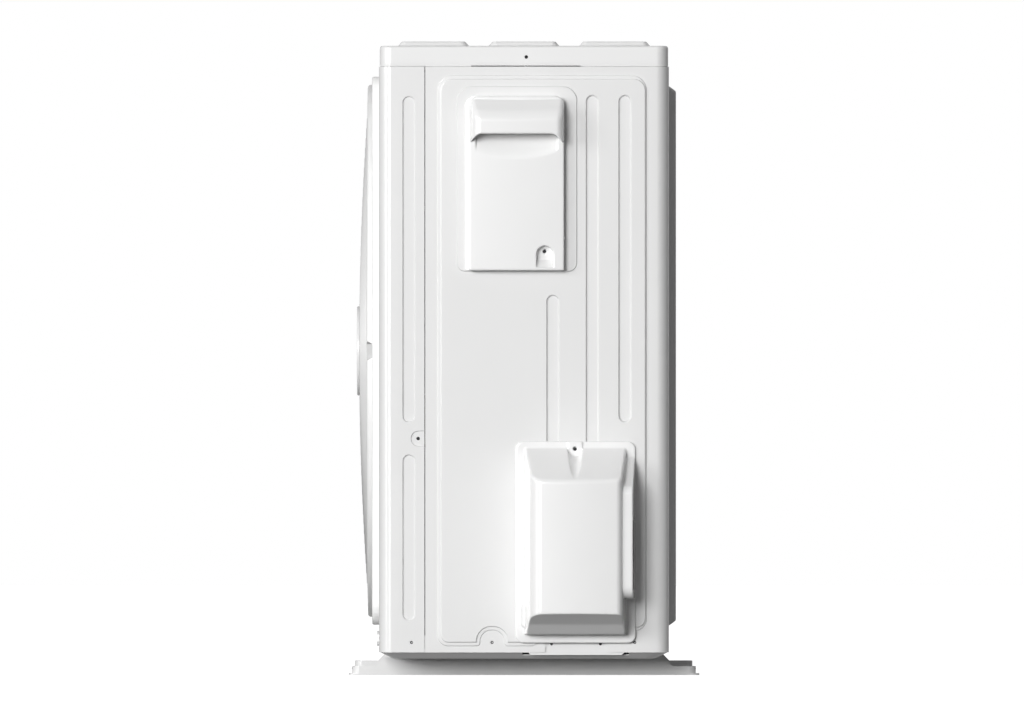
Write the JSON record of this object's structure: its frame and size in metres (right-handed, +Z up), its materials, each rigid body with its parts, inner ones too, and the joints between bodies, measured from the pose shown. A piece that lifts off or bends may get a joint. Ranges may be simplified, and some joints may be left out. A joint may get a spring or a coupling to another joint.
{
  "type": "air conditioner outdoor unit",
  "caption": "Outdoor unit of a split air conditioner: white sheet-metal cabinet with a guarded fan, a wrap-round coil, removable service covers and foot rails.",
  "frame": {"origin": "on the ground, at the centre of the four foot slots", "axes": "+X to the right seen from the front, towards the service side; -Y the way the fan blows, out of the front; +Z up"},
  "size_m": [1.017, 0.449, 0.81],
  "materials": {
    "cabinet": "fine-textured powder coat, satin",
    "covers": "moulded, satin",
    "guard": "moulded, satin",
    "rear_guard": "moulded, satin",
    "badge": "brushed, blank",
    "screws": "blackened",
    "fan": "moulded, satin",
    "steel": "zinc plated",
    "motor": "semi-gloss",
    "zinc": "galvanised",
    "fins": "plain mill finish",
    "copper": "plain copper tube",
    "brass": "forged and machined",
    "black_paint": "gloss black",
    "rubber": "moulded",
    "black_plastic": "moulded",
    "board": "solder mask",
    "core": "varnished laminations",
    "terminal": "moulded"
  },
  "bodies": {
    "cabinet": {"base_pan": "cabinet", "foot_left": "cabinet", "foot_right": "cabinet", "front_panel": "cabinet", "side_panel": "cabinet", "left_grille": "cabinet", "rear_frame": "cabinet", "rear_grille": "rear_guard", "guard_base": "guard", "fan_grille": "guard", "hub_cap": "covers", "badge_plate": "badge", "cabinet_screws": "screws", "fan_orifice": "cabinet", "fan_motor": "motor", "motor_bracket": "zinc", "motor_screws": "steel", "coil_fins": "fins", "coil_end_plates": "zinc", "coil_return_bends": "copper", "coil_header": "copper", "partition_plate": "zinc", "compressor_shell": "black_paint", "compressor_base": "black_paint", "compressor_grommets": "rubber", "compressor_nuts": "steel", "compressor_terminal_cover": "black_plastic", "accumulator": "black_paint", "accumulator_strap": "zinc", "reversing_valve": "brass", "reversing_valve_coil": "black_plastic", "expansion_valve": "brass", "discharge_pipe": "copper", "suction_pipe": "copper", "gas_pipe": "copper", "liquid_pipe": "copper", "valve_plate": "cabinet", "gas_valve_body": "brass", "liquid_valve_body": "brass", "control_box": "zinc", "main_board": "board", "heat_sink": "fins", "board_capacitors": "black_plastic", "reactor": "core", "terminal_block": "terminal", "cable_clamp": "black_plastic", "drain_nozzle": "black_plastic"},
    "fan_rotor": {"fan_propeller": "fan", "fan_nut": "steel", "motor_shaft": "steel"},
    "roof": {"top_cover": "cabinet", "top_cover_screws": "screws"},
    "wiring_lid": {"wiring_cover": "covers", "wiring_cover_screw": "screws"},
    "valve_lid": {"valve_cover": "covers", "valve_cover_screw": "screws"},
    "gas_cap": {"gas_valve_cap": "brass"},
    "liquid_cap": {"liquid_valve_cap": "brass"},
    "charge_cap": {"charge_port_cap": "brass"}
  },
  "joints": [
    {"name": "fan_spin", "type": "hinge", "parent": "cabinet", "child": "fan_rotor", "pos_m": [-0.1, -0.13, 0.415], "axis": [0, 1, 0], "continuous": true},
    {"name": "top_cover_lift", "type": "slide", "parent": "cabinet", "child": "roof", "axis": [0, 0, 1], "range_m": [0, 0.12]},
    {"name": "wiring_cover_slide", "type": "slide", "parent": "cabinet", "child": "wiring_lid", "axis": [1, 0, 0], "range_m": [0, 0.15]},
    {"name": "valve_cover_slide", "type": "slide", "parent": "cabinet", "child": "valve_lid", "axis": [1, 0, 0], "range_m": [0, 0.15]},
    {"name": "gas_cap_turn", "type": "hinge", "parent": "cabinet", "child": "gas_cap", "pos_m": [0.475, 0.066, 0.13], "axis": [0, 0, 1], "continuous": true},
    {"name": "liquid_cap_turn", "type": "hinge", "parent": "cabinet", "child": "liquid_cap", "pos_m": [0.475, 0.066, 0.22], "axis": [0, 0, 1], "continuous": true},
    {"name": "charge_cap_turn", "type": "hinge", "parent": "cabinet", "child": "charge_cap", "pos_m": [0.475, 0.035, 0.1], "axis": [0, 1, 0], "continuous": true}
  ]
}
